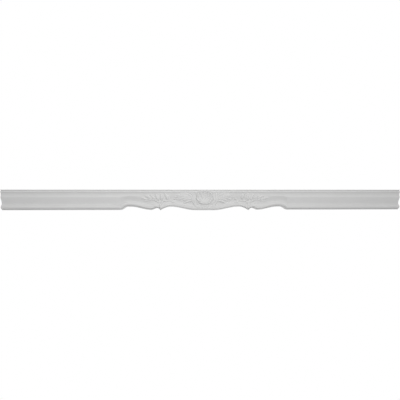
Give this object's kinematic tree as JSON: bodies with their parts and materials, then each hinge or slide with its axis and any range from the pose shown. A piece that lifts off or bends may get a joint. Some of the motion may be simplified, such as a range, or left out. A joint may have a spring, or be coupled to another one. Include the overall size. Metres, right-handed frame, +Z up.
{
  "type": "door casing moulding",
  "caption": "Long door head casing with a serpentine lower edge, a moulded rail, a swelling face, a cove and a bead, and a carved shell with scrolls, acanthus leaves and leaf sprays in the middle.",
  "frame": {"origin": "the middle of the flat back, where it lies on the wall, half way up the plain height", "axes": "+X along the length, to the right as seen from the front; +Y into the wall, so the carved front faces -Y; +Z up"},
  "size_m": [2.4, 0.0374, 0.1239],
  "materials": {
    "primed_white": "white factory primer on moulded rigid polyurethane, soft sheen"
  },
  "bodies": {
    "root": {"casing_moulding": "primed_white"}
  },
  "joints": []
}
